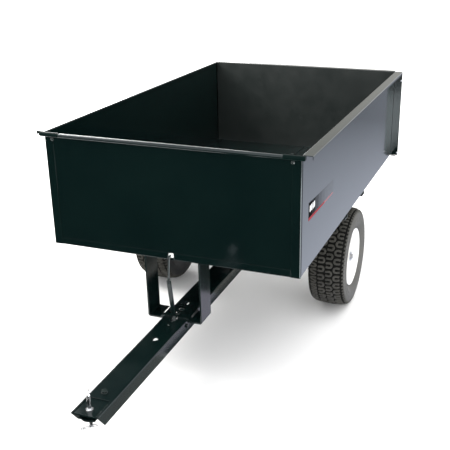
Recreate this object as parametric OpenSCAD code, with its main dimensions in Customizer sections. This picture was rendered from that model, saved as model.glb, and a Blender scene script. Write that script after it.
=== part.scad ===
// Tow behind dump cart: a steel box that tips about its axle, on two turf tyres,
// with a formed steel tongue, a latch stand, a spring latch and a lift-out tailgate.
// Millimetres, +Z up, ground at z = 0, tongue towards -Y.

/* [Box] */
// Width of the box over the side panels
bed_w = 864; // [800:2:900]
// Length of the box, front panel to tailgate
bed_l = 1440; // [1400:5:1500]
// Height of the floor underside above the ground
bed_z = 416; // [410:1:425]
// Height of the box from floor underside to rim
bed_h = 386; // [340:1:420]
// Sheet thickness of the box panels
sheet_t = 2; // [1.5:0.1:2.5]
// Sheet thickness of the tailgate
gate_t = 1.6; // [1.4:0.1:2.5]
// Width of the outward top flange
rim_w = 31.5; // [25:0.5:36]
// Depth of the down-turned lip on the top flange
lip_h = 12; // [8:0.5:16]
// Outer diameter of the rolled front rim
roll_d = 14; // [12:0.5:16]
// Width of the front flanges on the side panels
front_flange = 30; // [24:1:34]
// Height of the up-turned front flange on the floor
floor_flange = 24; // [20:1:30]

/* [Wheels] */
// Outer diameter of the tyres
tyre_d = 390; // [380:1:400]
// Width of the tyres
tyre_w = 145; // [140:1:150]
// Distance between the tyre centre planes
track = 740; // [730:2:750]
// Diameter of the axle
axle_d = 19; // [16:0.5:20]
// Distance from the box front to the axle
axle_y = 724; // [700:1:750]

/* [Tongue] */
// Width of the tongue channel
tongue_w = 86; // [76:1:90]
// Height of the tongue channel
tongue_h = 45; // [40:1:48]
// Thickness of the tongue steel
tongue_t = 3.2; // [3:0.1:4]
// Reach of the tongue in front of the box
tongue_reach = 551; // [500:1:600]
// Downward slope of the tongue towards the hitch
tongue_slope = 1.04; // [0.8:0.02:1.2]
// Height of the tongue web above the axle centre
web_up = 21; // [20:0.5:22]

/* [Hitch] */
// Diameter of the hitch pin
pin_d = 11; // [10:0.5:12]
// Gap between the two hitch jaws
jaw_gap = 12; // [10:0.5:14]

/* [Latch] */
// Outer width over the legs of the latch stand
stand_w = 195; // [180:1:210]
// Width of the flat bar of the latch stand
stand_bar = 77; // [70:1:80]
// Thickness of the flat bar of the latch stand
stand_t = 5; // [4:0.5:6]

/* [Hidden] */
$fn = 48;

paint = [0.05, 0.12, 0.11];
paint_dark = [0.04, 0.08, 0.08];
zinc = [0.72, 0.73, 0.75];
rubber = [0.20, 0.19, 0.17];
white = [0.93, 0.93, 0.92];

t = sheet_t;
hw = bed_w / 2;
rim_z = bed_z + bed_h;
wheel_r = tyre_d / 2;
axle_r = axle_d / 2;
run = 0.06;               // running clearance on the axle and pivots
ch_back = bed_l + 8;      // rear face of the tailgate channels
gate_back = bed_l + 24;   // rear edge of the tailgate top flange

// tongue frame: origin on the axle, y along the tongue, z up from the axle
tl_front = -(tongue_reach + axle_y) / cos(tongue_slope);
tl_rear = 38;
yf_world = axle_y + tl_front * cos(tongue_slope) - web_up * sin(tongue_slope);
y_mid = (yf_world + gate_back) / 2;
web_b = web_up - tongue_t;
tw = tongue_w / 2;
function tl(y) = y - axle_y;      // box-front measure to tongue-frame y

module place() { translate([0, -y_mid, 0]) children(); }
module tongue_frame() { place() translate([0, axle_y, wheel_r]) rotate([tongue_slope, 0, 0]) children(); }
// 2D x-z profile run along y
module along_y(y0, y1) { translate([0, y1, 0]) rotate([90, 0, 0]) linear_extrude(y1 - y0) children(); }
// 2D y-z profile run along x
module along_x(x0, x1) { translate([x0, 0, 0]) rotate([90, 0, 90]) linear_extrude(x1 - x0) children(); }
module box(a, b) { translate(a) cube(b - a); }
module xcyl(r, x0, x1) { translate([x0, 0, 0]) rotate([0, 90, 0]) cylinder(r = r, h = x1 - x0); }
module ycyl(r, y0, y1) { translate([0, y1, 0]) rotate([90, 0, 0]) cylinder(r = r, h = y1 - y0); }
module zcyl(r, z0, z1) { translate([0, 0, z0]) cylinder(r = r, h = z1 - z0); }
module hexz(af, z0, z1) { translate([0, 0, z0]) cylinder(d = af / cos(30), h = z1 - z0, $fn = 6); }
module domez(r, h, z0) {
  R = (r * r + h * h) / (2 * h);
  intersection() {
    translate([0, 0, z0 + h - R]) sphere(r = R);
    zcyl(r, z0, z0 + h + 1);
  }
}
// straight round rod between two points in the y-z plane
module rod_yz(a, b, r) {
  d = b - a;
  translate([0, a[0], a[1]]) rotate([-atan2(d[0], d[1]), 0, 0]) cylinder(r = r, h = norm(d));
}

// ---------------------------------------------------------------- tongue
module channel2d(w, h, th, r) {
  difference() {
    union() {
      translate([-w / 2, -h]) square([w, h - r]);
      translate([-w / 2 + r, -r]) square([w - 2 * r, r]);
      for (s = [-1, 1]) translate([s * (w / 2 - r), -r]) circle(r = r);
    }
    translate([-w / 2 + th, -h - 1]) square([w - 2 * th, h + 1 - r]);
    translate([-w / 2 + r, -h]) square([w - 2 * r, h - th]);
    for (s = [-1, 1]) translate([s * (w / 2 - r), -r]) circle(r = r - th);
  }
}

slot_y = tl(118);
pivot_y = tl(9);
pin_y = tl(-525);
bolt_y = tl(-445);
step_y = tl(-476);

module tongue() {
  color(paint) tongue_frame() {
    difference() {
      along_y(tl_front, tl_rear) translate([0, web_up]) channel2d(tongue_w, tongue_h, tongue_t, 6);
      // chamfered front ends of the flanges
      along_x(-tw - 1, tw + 1)
        polygon([[tl_front - 1, web_up - 8], [tl_front, web_up - 8], [tl_front + 28, web_up - tongue_h - 0.1],
                 [tl_front + 28, web_up - tongue_h - 2], [tl_front - 1, web_up - tongue_h - 2]]);
      // web cut back in front, the jaw plate shows there
      box([-tw + 7, tl_front - 1, web_b - 1], [tw - 7, step_y, web_up + 1]);
      // hitch bolt, accessory hole, two small holes
      translate([0, bolt_y, 0]) zcyl(5.2, web_b - 1, web_up + 1);
      translate([0, tl(-135), 0]) zcyl(10, web_b - 1, web_up + 1);
      translate([0, tl(-38.8), 0]) zcyl(3.5, web_b - 1, web_up + 1);
      translate([0, tl(-16.5), 0]) zcyl(3.5, web_b - 1, web_up + 1);
      // slot for the latch lever, square hole for the stand bolts, spring slot
      box([-9.5, pivot_y - 20, web_b - 1], [9.5, pivot_y + 8, web_up + 1]);
      for (y = [34, 62]) translate([0, tl(y), 0]) zcyl(4.2, web_b - 1, web_up + 1);
      box([-27, slot_y - 10, web_b - 1], [1, slot_y + 10, web_up + 1]);
      // pivot bolt and axle holes through the flanges
      translate([0, pivot_y, 0]) xcyl(4.1, -tw - 1, tw + 1);
      xcyl(axle_r + run, -tw - 1, tw + 1);
    }
    // tab for the latch spring at the front edge of its slot
    difference() {
      box([-14.5, slot_y - 22, web_b - 18], [-11.5, slot_y - 10.2, web_b]);
      translate([0, slot_y - 15, 9]) xcyl(2.6, -15, -11);
    }
  }
}

module hitch_plate() {
  color(paint) tongue_frame() difference() {
    box([-tw + 6.2, tl_front, web_b - 5], [tw - 6.2, tl(-404), web_b]);
    translate([0, pin_y, 0]) zcyl(pin_d / 2 + 0.08, web_b - 6, web_b + 1);
    translate([0, bolt_y, 0]) zcyl(5.2, web_b - 6, web_b + 1);
  }
}

module hitch_bracket() {
  top = web_b - 5;
  low = top - jaw_gap;
  color(paint) tongue_frame() difference() {
    union() {
      along_x(-25, 25) polygon([[bolt_y + 22, top], [bolt_y - 22, top], [bolt_y - 22 - 14, low],
        [pin_y - 20, low], [pin_y - 20, low - 5], [bolt_y - 24.5 - 14, low - 5], [bolt_y - 24.5, top - 5],
        [bolt_y + 22, top - 5]]);
      translate([0, pin_y - 1, 0]) intersection() {
        zcyl(25, low - 5, low);
        box([-25, -26, low - 5], [25, 0, low]);
      }
    }
    translate([0, pin_y, 0]) zcyl(pin_d / 2 + 0.08, low - 6, low + 1);
    translate([0, bolt_y, 0]) zcyl(5.2, top - 6, top + 1);
  }
}

module hitch_bolt() {
  color(zinc) tongue_frame() translate([0, bolt_y, 0]) {
    zcyl(5, web_b - 20, web_up + 0.5);
    zcyl(9, web_up, web_up + 1.6);
    hexz(15, web_up + 1.6, web_up + 7.6);
    hexz(15, web_b - 18, web_b - 10);
  }
}

module hitch_pin() {
  color(zinc) tongue_frame() translate([0, pin_y, 0]) difference() {
    union() {
      zcyl(pin_d / 2, web_b - 53.4, web_b + 46);
      translate([0, 0, web_b - 55.6]) cylinder(r1 = pin_d / 2 - 1.8, r2 = pin_d / 2, h = 2.2);
      zcyl(10, web_b + 0.05, web_b + 3.2);
      translate([0, 0, web_b + 46]) cylinder(r1 = pin_d / 2, r2 = 4, h = 5);
      // loop handle
      translate([0, 0, web_b + 50.5]) rotate([0, 0, -58]) rotate([90, 0, 0])
        rotate_extrude() translate([11, 0]) circle(r = 3.1);
    }
    translate([0, 0, web_b - 51.5]) rotate([0, 0, 45]) xcyl(1.48, -8, 8);
  }
}

module hair_cotter() {
  color(zinc) tongue_frame() translate([0, pin_y, web_b - 51.5]) rotate([0, 0, 45]) {
    xcyl(1.4, -26, 17);
    translate([0, -7.6, 0]) xcyl(1.4, -26, 12);
    translate([11.4, -7.6, 0]) rotate([0, 90, -18]) cylinder(r = 1.35, h = 6.4);
    translate([-26, -3.8, 0]) rotate_extrude() translate([3.8, 0]) circle(r = 1.6);
  }
}

// ---------------------------------------------------------------- latch stand
st_y0 = tl(8.9);
st_y1 = st_y0 + stand_bar;
st_low = web_up - 8.4;
st_top = bed_z - 0.4 - wheel_r - st_y1 * sin(tongue_slope);

module stand2d() {
  w = stand_w / 2;
  r = 8;
  s = stand_t;
  n = 8;
  half = concat([[tw + 0.6, web_up], [tw + 0.6, st_low + 4], [tw + 4, st_low]],
    [for (i = [0:n]) let (a = -90 + 90 * i / n) [w - r + r * cos(a), st_low + r + r * sin(a)]],
    [[w, st_top], [w - s, st_top]],
    [for (i = [n:-1:0]) let (a = -90 + 90 * i / n) [w - r + (r - s) * cos(a), st_low + r + (r - s) * sin(a)]],
    [[tw + 9, st_low + s], [tw + 5.5, web_up + s - 1.5], [tw + 0.6, web_up + s]]);
  m = len(half);
  polygon(concat(half, [for (i = [m - 1:-1:0]) [-half[i][0], half[i][1]]]));
}

module latch_stand() {
  color(paint) tongue_frame() difference() {
    along_y(st_y0, st_y1) stand2d();
    box([-9.5, st_y0 - 1, web_up - 1], [9.5, pivot_y + 8, web_up + stand_t + 1]);
    for (y = [34, 62]) translate([0, tl(y), 0]) zcyl(4.2, web_up - 1, web_up + stand_t + 1);
  }
}

module stand_bolts() {
  color(zinc) tongue_frame() for (y = [34, 62]) translate([0, tl(y), 0]) {
    zcyl(4, web_b - 9, web_up + stand_t + 0.5);
    domez(9, 4, web_up + stand_t);
    hexz(13, web_b - 7, web_b);
  }
}

// ---------------------------------------------------------------- latch
module latch_pivot_bolt() {
  color(zinc) tongue_frame() translate([0, pivot_y, 0]) {
    xcyl(4, -tw - 10, tw + 0.5);
    translate([tw, 0, 0]) rotate([0, 90, 0]) hexz(13, 0, 5.5);
    translate([-tw, 0, 0]) rotate([0, -90, 0]) hexz(13, 0, 7);
  }
}

module latch_spacers() {
  color(zinc) tongue_frame() translate([0, pivot_y, 0]) for (m = [0, 1]) mirror([m, 0, 0]) difference() {
    xcyl(7, 22.3, tw - tongue_t - 0.1);
    xcyl(4.1, 22, tw);
  }
}

lev_a = [-28, 170.5];      // top of the strap from the pivot
lev_b = [-16.5, 249.6];     // top of the hook rod
nose_tip = [0, 249.4];
module latch_lever() {
  lean = atan2(-lev_a[0], lev_a[1]);
  nose_y = -0.9 - axle_y + (bed_z + 16 - wheel_r) * sin(tongue_slope) - pivot_y;
  color(paint) tongue_frame() translate([0, pivot_y, 0]) {
    // pivot sleeve with the spring ear
    difference() {
      union() {
        xcyl(7.5, -22, 22);
        rotate([lean, 0, 0]) box([-7, -2.5, 0], [7, 2.5, 172]);
        difference() {
          box([-14.5, -4.5, 0], [-11.5, 4.5, 14]);
          translate([0, 0, 10]) xcyl(2.6, -15, -11);
        }
      }
      xcyl(4 + run, -23, 23);
    }
    // hook rod and nose
    rod_yz(lev_a + [0.6, -10], lev_a + [0.2, 6], 3.6);
    translate([0, lev_a[0] + 0.2, lev_a[1] + 6]) sphere(r = 3.6);
    rod_yz(lev_a + [0.2, 6], lev_b, 3.3);
    translate([0, lev_b[0], lev_b[1]]) sphere(r = 3.3);
    translate([0, 0, lev_b[1]]) ycyl(3.3, lev_b[0], nose_y);
  }
}

module latch_spring() {
  y0 = pivot_y + 8;
  y1 = slot_y - 15 - 8;
  n = ceil((y1 - y0) / 1.7);
  color(zinc) tongue_frame() translate([-13, 0, 9.6]) {
    translate([0, y0, 0]) rotate([-90, 0, 0]) rotate_extrude() difference() {
      union() {
        translate([3.4, 0]) square([1, n * 1.7]);
        for (i = [0:n]) translate([4.2, i * 1.7]) circle(r = 0.85, $fn = 16);
      }
      translate([-1, -2]) square([1, n * 1.7 + 4]);
    }
    // end loops, lying flat, through the ear and the tab
    for (e = [[pivot_y + 4.2, 0], [slot_y - 15 - 4.2, 1]]) translate([0, e[0], 0])
      rotate_extrude() translate([4.2, 0]) circle(r = 0.85, $fn = 16);
  }
}

// ---------------------------------------------------------------- axle
module wheel_pos(s) { place() translate([0, axle_y, wheel_r]) mirror([s < 0 ? 1 : 0, 0, 0]) children(); }
axle_end = track / 2 + 62;
br_x = 200;
module axle() {
  color(zinc) place() translate([0, axle_y, wheel_r]) difference() {
    union() {
      xcyl(axle_r, -axle_end + 2, axle_end - 2);
      for (m = [0, 1]) mirror([m, 0, 0]) translate([axle_end - 2, 0, 0]) rotate([0, 90, 0])
        cylinder(r1 = axle_r, r2 = axle_r - 2, h = 2);
    }
    for (m = [0, 1]) mirror([m, 0, 0]) translate([axle_end - 6, 0, 0]) zcyl(2.1, -12, 12);
  }
}
module axle_spacers() {
  color(paint_dark) for (s = [-1, 1]) wheel_pos(s) {
    for (r = [[tw + 0.2, br_x - 10.3], [br_x + 14.3, track / 2 - 63.4]]) difference() {
      xcyl(13, r[0], r[1]);
      xcyl(axle_r + run, r[0] - 1, r[1] + 1);
    }
  }
}
module axle_washers() {
  color(zinc) for (s = [-1, 1]) wheel_pos(s) for (x = [track / 2 - 63.2, track / 2 + 50.4]) difference() {
    xcyl(19, x, x + 2.8);
    xcyl(axle_r + run, x - 1, x + 4);
  }
}
module axle_cotter_pins() {
  color(zinc) for (s = [-1, 1]) wheel_pos(s) translate([axle_end - 6, 0, 0]) {
    zcyl(2, -16, 13);
    translate([0, 0, 14.6]) rotate([0, 90, 0]) rotate_extrude() translate([3, 0]) circle(r = 1.1);
    translate([0, 0, -16]) rotate([30, 0, 0]) zcyl(1.1, -6, 1);
    translate([0, 0, -16]) rotate([-30, 0, 0]) zcyl(1.1, -6, 1);
  }
}

// ---------------------------------------------------------------- box
roll_r = roll_d / 2;
roll_y = 2 * t - roll_r;
roll_z = rim_z - 1.5 - roll_r;
roll_x = hw + 10;
module front_panel() {
  color(paint) place() {
    difference() {
      box([-hw + t + 0.3, t, bed_z + t], [hw - t - 0.3, 2 * t, roll_z]);
      // hole behind the notch for the nose of the latch
      box([-9, 0, bed_z + 8.5], [9, 3 * t, bed_z + 23]);
      for (s = [-1, 1]) translate([s * (hw - 28), 0, rim_z - 23]) ycyl(2.6, 0, 10);
    }
    translate([0, roll_y, roll_z]) difference() {
      xcyl(roll_r, -roll_x, roll_x);
      xcyl(roll_r - t, -roll_x - 1, roll_x + 1);
      // the roll stays open at its lower rear
      rotate([-20, 0, 0]) box([-roll_x - 1, 0.5, -9], [roll_x + 1, 3.0, -2]);
    }
  }
}

module side_panel(s) {
  fl_top = roll_z - roll_r - 0.3;
  color(paint) place() mirror([s < 0 ? 1 : 0, 0, 0]) {
    difference() {
      union() {
        box([hw - t, 0, bed_z], [hw, bed_l, rim_z]);                                  // wall
        box([hw - t, roll_y + roll_r + 0.5, rim_z - t], [hw + rim_w, bed_l, rim_z]);  // top flange
        box([hw + rim_w - t, roll_y + roll_r + 0.5, rim_z - lip_h], [hw + rim_w, bed_l, rim_z]);
        box([hw - front_flange, 0, bed_z], [hw, t, fl_top]);                          // front flange
        box([hw - 27, 2 * t + 0.3, bed_z + t], [hw, bed_l - t, bed_z + 2 * t]);       // inner bottom flange
        // rear flange, rounded at its lower corner
        box([hw - t, bed_l - t, bed_z + 8], [hw + rim_w, bed_l, rim_z]);
        box([hw - t, bed_l - t, bed_z], [hw + rim_w - 8, bed_l, bed_z + 9]);
        translate([hw + rim_w - 8, 0, bed_z + 8]) ycyl(8, bed_l - t, bed_l);
      }
      // clearance round the rolled front rim
      box([hw - t - 1, -1, fl_top], [hw + rim_w + 1, roll_y + roll_r + 0.3, rim_z + 1]);
      translate([hw - 28, 0, rim_z - 23]) ycyl(2.6, -1, 10);
      for (z = [bed_z + 14, rim_z - 40]) translate([hw + 27.3, 0, z]) ycyl(3.1, bed_l - 5, bed_l + 1);
    }
  }
}
module side_panel_left() { side_panel(-1); }
module side_panel_right() { side_panel(1); }

seam_y = [160, 520, 940, 1300];
module floor_left() {
  color(paint) place() difference() {
    union() {
      box([-hw + t + 0.3, 0, bed_z], [11.7, bed_l - 0.3, bed_z + t]);
      box([-hw + front_flange + 0.3, 0, bed_z], [-10, t, bed_z + floor_flange]);
      box([-10, 0, bed_z], [-0.2, t, bed_z + 9]);
    }
    box([-hw - 1, -1, bed_z - 1], [-hw + front_flange + 0.3, t + 0.3, bed_z + t + 1]);
    for (y = seam_y) translate([0, y, 0]) zcyl(3.2, bed_z - 1, bed_z + t + 1);
    for (x = [-br_x + 22], d = [-140, 140]) translate([x, axle_y + d, 0]) zcyl(4.2, bed_z - 1, bed_z + t + 1);
  }
}
module floor_right() {
  color(paint) place() difference() {
    union() {
      box([12, t + 0.3, bed_z], [hw - t - 0.3, bed_l - 0.3, bed_z + t]);
      box([-12, 2 * t + 0.3, bed_z + t], [14, bed_l - 0.3, bed_z + 2 * t]);   // lap over the left half
      box([0.2, 0, bed_z], [10, t, bed_z + 9]);
      box([10, 0, bed_z], [hw - front_flange - 0.3, t, bed_z + floor_flange]);
      box([12, 0, bed_z], [hw - front_flange - 0.3, t + 0.4, bed_z + t]);
      box([0.2, -0, bed_z + t], [12.2, t, bed_z + 9]);
    }
    box([0, 0.1 + t, bed_z - 1], [11.9, t + 1, bed_z + t]);
    box([-1, -1, bed_z - 1], [12, t + 0.2, bed_z + t + 0.2]);
    for (y = seam_y) translate([0, y, 0]) zcyl(3.2, bed_z - 1, bed_z + 2 * t + 1);
    for (x = [br_x - 22], d = [-140, 140]) translate([x, axle_y + d, 0]) zcyl(4.2, bed_z - 1, bed_z + t + 1);
  }
}
module floor_seam_bolts() {
  color(paint_dark) place() for (y = seam_y) translate([0, y, 0]) {
    zcyl(3, bed_z - 7, bed_z + 2 * t + 0.4);
    domez(6.5, 2.8, bed_z + 2 * t);
    hexz(10, bed_z - 5, bed_z);
  }
}
module corner_rivets() {
  color(paint_dark) place() for (s = [-1, 1]) translate([s * (hw - 28), 0, rim_z - 23]) {
    ycyl(2.5, -0.3, 2 * t + 1);
    rotate([90, 0, 0]) domez(6, 2.6, 0);
    ycyl(4.5, 2 * t, 2 * t + 1.6);
  }
}

module tailgate_channel(s) {
  c0 = hw + 21;
  color(paint) place() mirror([s < 0 ? 1 : 0, 0, 0]) difference() {
    union() {
      box([c0, bed_l, bed_z + 2], [hw + rim_w, bed_l + t, rim_z - 2]);          // leg on the rear flange
      box([c0, bed_l, bed_z + 2], [c0 + t, ch_back, rim_z - 2]);                // web
      box([hw - 2, ch_back - t, bed_z + 2], [c0 + t, ch_back, rim_z - 2]);      // rear lip
      box([hw - 2, bed_l, bed_z - 4], [c0 + t, ch_back, bed_z - 2]);            // bottom stop
      box([c0, bed_l, bed_z - 4], [c0 + t, ch_back, bed_z + 3]);
      box([hw - 2, ch_back - t, bed_z - 4], [c0 + t, ch_back, bed_z + 3]);
    }
    for (z = [bed_z + 14, rim_z - 40]) translate([hw + 27.3, 0, z]) ycyl(3.1, bed_l - 5, bed_l + 5);
  }
}
module tailgate_channel_left() { tailgate_channel(-1); }
module tailgate_channel_right() { tailgate_channel(1); }
module channel_bolts() {
  color(zinc) place() for (s = [-1, 1], z = [bed_z + 14, rim_z - 40]) translate([s * (hw + 27.3), 0, z]) {
    ycyl(3, bed_l - t - 1, bed_l + t + 7);
    translate([0, bed_l - t, 0]) rotate([90, 0, 0]) domez(4.4, 2.6, 0);
    translate([0, bed_l + t, 0]) rotate([-90, 0, 0]) rotate([0, 0, 30]) hexz(7.2, 0, 4.5);
  }
}

module rim_cap(s) {
  color(paint) place() translate([0, roll_y, roll_z]) mirror([s < 0 ? 1 : 0, 0, 0]) difference() {
    union() {
      xcyl(roll_r + 1.5, hw - 56, roll_x + 0.2);
      xcyl(roll_r + 1.5, roll_x + 0.2, roll_x + 1.7);
    }
    xcyl(roll_r + 0.02, hw - 57, roll_x + 0.2);
    // open below and behind, so that it clips over the front of the roll
    box([hw - 60, -20, -20], [roll_x + 5, 20, -3.5]);
    box([hw - 60, 4.6, -20], [roll_x + 5, 20, 0.2]);
    box([hw - 60, roll_r - 0.6, -20], [roll_x + 5, 20, 6]);
    box([hw - t - 0.3, roll_r - 0.4, -20], [roll_x + 5, 20, 20]);
  }
}
module rim_cap_left() { rim_cap(-1); }
module rim_cap_right() { rim_cap(1); }

module cross_member(y) {
  color(paint) place() difference() {
    along_x(-hw, hw) difference() {
      translate([y - 19, bed_z - 11]) square([38, 11]);
      translate([y - 19 + 2.5, bed_z - 11 + 2.5]) square([33, 12]);
    }
    for (s = [-1, 1]) translate([s * (br_x - 22), y, 0]) zcyl(4.2, bed_z - 12, bed_z + 1);
  }
}
module cross_member_front() { cross_member(axle_y - 140); }
module cross_member_rear() { cross_member(axle_y + 140); }

module axle_bracket(s) {
  top = bed_z - 11 - wheel_r;         // above the axle centre
  color(paint) wheel_pos(s) difference() {
    union() {
      along_x(br_x, br_x + 4) {
        polygon([[-165, top], [165, top], [165, top - 26], [22, -14], [-22, -14], [-165, top - 26]]);
        circle(r = 26);
      }
      box([br_x - 42, -165, top - 4], [br_x + 4, 165, top]);                 // top flange
      // stiffening lips along the slanted edges
      for (m = [0, 1]) mirror([0, m, 0]) along_x(br_x - 14, br_x + 1)
        polygon([[165, top - 1], [165, top - 26], [22, -14], [22, -9.5], [161, top - 24], [161, top - 1]]);
      xcyl(17, br_x - 10, br_x + 14);                                        // boss
    }
    xcyl(axle_r + run, br_x - 12, br_x + 16);
    for (d = [-140, 140]) translate([br_x - 22, d, 0]) zcyl(4.2, top - 5, top + 1);
  }
}
module axle_bracket_left() { axle_bracket(-1); }
module axle_bracket_right() { axle_bracket(1); }

module bracket_bolts() {
  color(zinc) place() for (s = [-1, 1], d = [-140, 140]) translate([s * (br_x - 22), axle_y + d, 0]) {
    zcyl(4, bed_z - 24, bed_z + t + 0.5);
    domez(9, 4, bed_z + t);
    hexz(13, bed_z - 22, bed_z - 15);
  }
}

module side_decals() {
  color([0.75, 0.1, 0.12]) place() for (m = [0, 1]) mirror([m, 0, 0])
    along_x(hw, hw + 0.4) polygon([[77, bed_z + 159], [368, bed_z + 157], [368, bed_z + 202], [77, bed_z + 217]]);
}

// ---------------------------------------------------------------- tailgate
module tailgate() {
  g0 = bed_l + 2;
  gx = hw + 19;
  color(paint) place() {
    box([-gx, g0, bed_z - 1.9], [gx, g0 + gate_t, rim_z]);
    // stiff top edge, bent back and down, narrower than the channels
    box([-hw + 6, g0, rim_z - gate_t], [hw - 6, gate_back, rim_z]);
    box([-hw + 6, gate_back - gate_t, rim_z - 14], [hw - 6, gate_back, rim_z]);
    // stiff bottom edge, bent back
    box([-hw + 6, g0, bed_z - 1.9], [hw - 6, gate_back - 6, bed_z - 1.9 + gate_t]);
  }
}

// ---------------------------------------------------------------- wheels, made at +X about the wheel centre
wc = track / 2;
hwd = tyre_w / 2;
rim_r = 112.5;
seat_r = 101.6;
// sidewall half width at radius r, th inside the outer skin
function wall_x(r) = r < 150 ? 57.4 + 15.1 * sin(90 * (r - 114) / 36)
                             : hwd - 9 * (1 - cos(90 * (r - 150) / 38));
module tyre_section() {
  out = concat([[seat_r + 0.2, 46], [seat_r + 0.2, 57.2], [113, 57.4]],
    [for (i = [0:8]) let (r = 115 + 35 * i / 8) [r, wall_x(r)]],
    [for (i = [1:8]) let (r = 150 + 38 * i / 8) [r, wall_x(r)]],
    [[wheel_r - 1.8, 57], [wheel_r - 0.4, 48], [wheel_r, 34]]);
  inn = concat([[seat_r + 8, 46]],
    [for (i = [0:8]) let (r = 118 + 60 * i / 8) [r, wall_x(r) - 9]],
    [[wheel_r - 11, 42], [wheel_r - 10, 0]]);
  n = len(out);
  m = len(inn);
  polygon(concat(out, [for (i = [n - 1:-1:0]) [out[i][0], -out[i][1]]],
    [for (i = [0:m - 2]) [inn[i][0], -inn[i][1]]], [for (i = [m - 1:-1:0]) inn[i]]));
}
module tyre(s) {
  color(rubber) wheel_pos(s) translate([wc, 0, 0]) rotate([0, 90, 0]) rotate_extrude($fn = 96) tyre_section();
}
module tyre_left() { tyre(-1); }
module tyre_right() { tyre(1); }

// rim half from the centre seam outwards, q = 1 for the outer half
module rim_half2d(disc) {
  translate([88, 0]) square([2.4, 17]);
  polygon([[88, 15], [90.4, 15], [101.4, 22], [101.4, 25], [99, 25], [88, 18]]);
  translate([99, 22]) square([2.4, 38]);
  polygon([[99, 57.8], [101.4, 58.2], [rim_r - 2, 58.2], [rim_r, 59.5], [rim_r, 62], [rim_r - 2.4, 62], [rim_r - 3, 60.6],
           [99, 60.6]]);
  if (disc) {
    polygon([[89, 6], [89, 9], [72, 22], [44, 26], [30, 20], [16.1, 20], [16.1, 17.2], [31, 17.2], [45, 23.2],
             [70.6, 19.4], [88, 6]]);
  } else {
    polygon([[89, 6], [89, 9], [60, 16], [16.1, 16], [16.1, 13.2], [59, 13.2], [88, 6]]);
  }
}
module rim_outer(s) {
  color(white) wheel_pos(s) translate([wc, 0, 0]) difference() {
    rotate([0, 90, 0]) rotate_extrude($fn = 96) rim_half2d(true);
    // valve hole in the well
    valve_axis() zcyl(5.9, -6, 8);
  }
}
module rim_outer_left() { rim_outer(-1); }
module rim_outer_right() { rim_outer(1); }
module rim_inner(s) {
  color(white) wheel_pos(s) translate([wc, 0, 0]) rotate([0, -90, 0]) rotate_extrude($fn = 96) rim_half2d(false);
}
module rim_inner_left() { rim_inner(-1); }
module rim_inner_right() { rim_inner(1); }
module hub(s) {
  color(white) wheel_pos(s) translate([wc, 0, 0]) difference() {
    xcyl(16, -60, 50);
    xcyl(13, -61, 51);
  }
}
module hub_left() { hub(-1); }
module hub_right() { hub(1); }
module hub_bushes(s) {
  color([0.12, 0.12, 0.12]) wheel_pos(s) translate([wc, 0, 0]) for (x = [-60, 20]) difference() {
    union() {
      xcyl(13, x, x + 30);
    }
    xcyl(axle_r + run, x - 1, x + 31);
  }
}
module hub_bushes_left() { hub_bushes(-1); }
module hub_bushes_right() { hub_bushes(1); }
// valve axis: through the well wall, pointing outwards and towards the hub
module valve_axis() { translate([11.5, 0, 89]) rotate([0, 180 - 58, 0]) children(); }
module valve_stem(s) {
  color(rubber) wheel_pos(s) translate([wc, 0, 0]) valve_axis() {
    zcyl(5.8, -4, 6);
    translate([0, 0, 6]) cylinder(r1 = 5.8, r2 = 3.6, h = 12);
    zcyl(4.2, 18, 27);
  }
}
module valve_stem_left() { valve_stem(-1); }
module valve_stem_right() { valve_stem(1); }

tongue();
hitch_plate();
hitch_bracket();
hitch_bolt();
latch_stand();
stand_bolts();
latch_pivot_bolt();
latch_spacers();
latch_spring();
axle();
axle_spacers();
axle_washers();
axle_cotter_pins();
hitch_pin();
hair_cotter();
latch_lever();
front_panel();
side_panel_left();
side_panel_right();
floor_left();
floor_right();
floor_seam_bolts();
corner_rivets();
tailgate_channel_left();
tailgate_channel_right();
channel_bolts();
rim_cap_left();
rim_cap_right();
cross_member_front();
cross_member_rear();
axle_bracket_left();
axle_bracket_right();
bracket_bolts();
side_decals();
tailgate();
tyre_left();
rim_outer_left();
rim_inner_left();
hub_left();
hub_bushes_left();
valve_stem_left();
tyre_right();
rim_outer_right();
rim_inner_right();
hub_right();
hub_bushes_right();
valve_stem_right();
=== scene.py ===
import bpy, bmesh, math, random
from mathutils import Vector, Matrix


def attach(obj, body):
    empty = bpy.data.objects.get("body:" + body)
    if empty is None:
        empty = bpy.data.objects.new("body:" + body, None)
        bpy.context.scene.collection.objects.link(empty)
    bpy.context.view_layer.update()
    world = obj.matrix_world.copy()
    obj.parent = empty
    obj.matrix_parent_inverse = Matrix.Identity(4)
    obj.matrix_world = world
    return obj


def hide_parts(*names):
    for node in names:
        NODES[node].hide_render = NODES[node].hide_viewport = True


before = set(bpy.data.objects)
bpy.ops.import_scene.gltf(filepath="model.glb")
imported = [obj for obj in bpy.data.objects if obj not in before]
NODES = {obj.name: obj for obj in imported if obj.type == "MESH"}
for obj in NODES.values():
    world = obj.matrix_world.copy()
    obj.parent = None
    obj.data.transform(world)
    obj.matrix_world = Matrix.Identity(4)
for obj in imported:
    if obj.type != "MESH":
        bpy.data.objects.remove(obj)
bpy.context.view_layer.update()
random.seed(7)

# ------------------------------------------------------------------ sizes, metres
HW, BED_L, BED_Z, RIM_Z = 0.432, 1.440, 0.416, 0.802
T, RIM_W, LIP = 0.002, 0.0315, 0.012
FLF, FRF = 0.024, 0.030
AXLE_Y, WR, WC = 0.724, 0.195, 0.370
SL = math.radians(1.04)
YF = AXLE_Y - (0.551 + AXLE_Y) - 0.021 * math.sin(SL)
YM = (YF + BED_L + 0.024) / 2
TW, WEB = 0.043, 0.021


def yy(y):
    return y - YM


def tongue_pt(x, yl, zl):
    return Vector((x, AXLE_Y + yl * math.cos(SL) - zl * math.sin(SL) - YM,
                   WR + yl * math.sin(SL) + zl * math.cos(SL)))


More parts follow.
